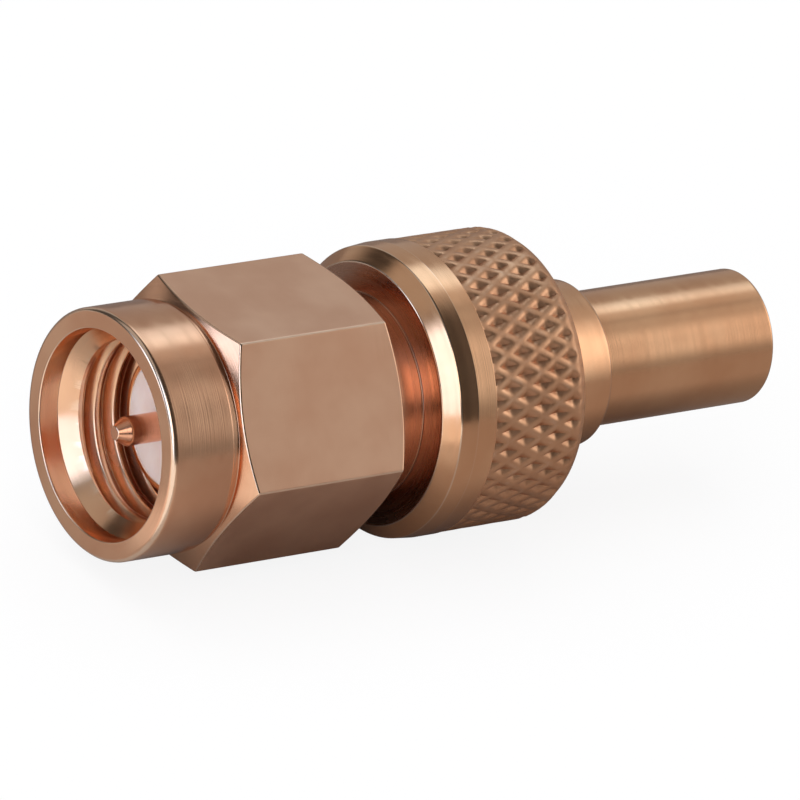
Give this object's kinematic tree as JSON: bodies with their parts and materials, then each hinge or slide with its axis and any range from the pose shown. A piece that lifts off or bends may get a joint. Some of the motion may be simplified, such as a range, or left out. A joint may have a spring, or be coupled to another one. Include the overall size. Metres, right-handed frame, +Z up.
{
  "type": "coaxial adapter",
  "caption": "Straight coaxial adapter: hexagonal screw coupling nut with a centre pin at one end, a diamond-knurled grip collar, and a slim push-fit jack tube at the other.",
  "frame": {"origin": "on the axis, in the plane of the coupling nut's front rim", "axes": "+X along the axis from the plug's mouth to the jack's mouth, +Z up, with the adapter lying on its side, a flat of the nut down"},
  "size_m": [0.0245, 0.0094, 0.0094],
  "materials": {
    "nut_gold": "gold plate, satin",
    "body_gold": "gold plate, polished and knurled",
    "sleeve_gold": "gold plate, polished",
    "contact_gold": "gold plate, polished",
    "ring_bronze": "spring bronze",
    "insulator": "waxy white",
    "gasket": "matt"
  },
  "bodies": {
    "body": {"plug_body": "body_gold", "jack_sleeve": "sleeve_gold", "plug_insulator": "insulator", "jack_insulator": "insulator", "centre_contact": "contact_gold", "retaining_ring": "ring_bronze", "gasket": "gasket"},
    "nut": {"coupling_nut": "nut_gold"}
  },
  "joints": [
    {"name": "nut_turn", "type": "hinge", "parent": "body", "child": "nut", "pos_m": [0.005, 0, 0], "axis": [1, 0, 0], "continuous": true}
  ]
}
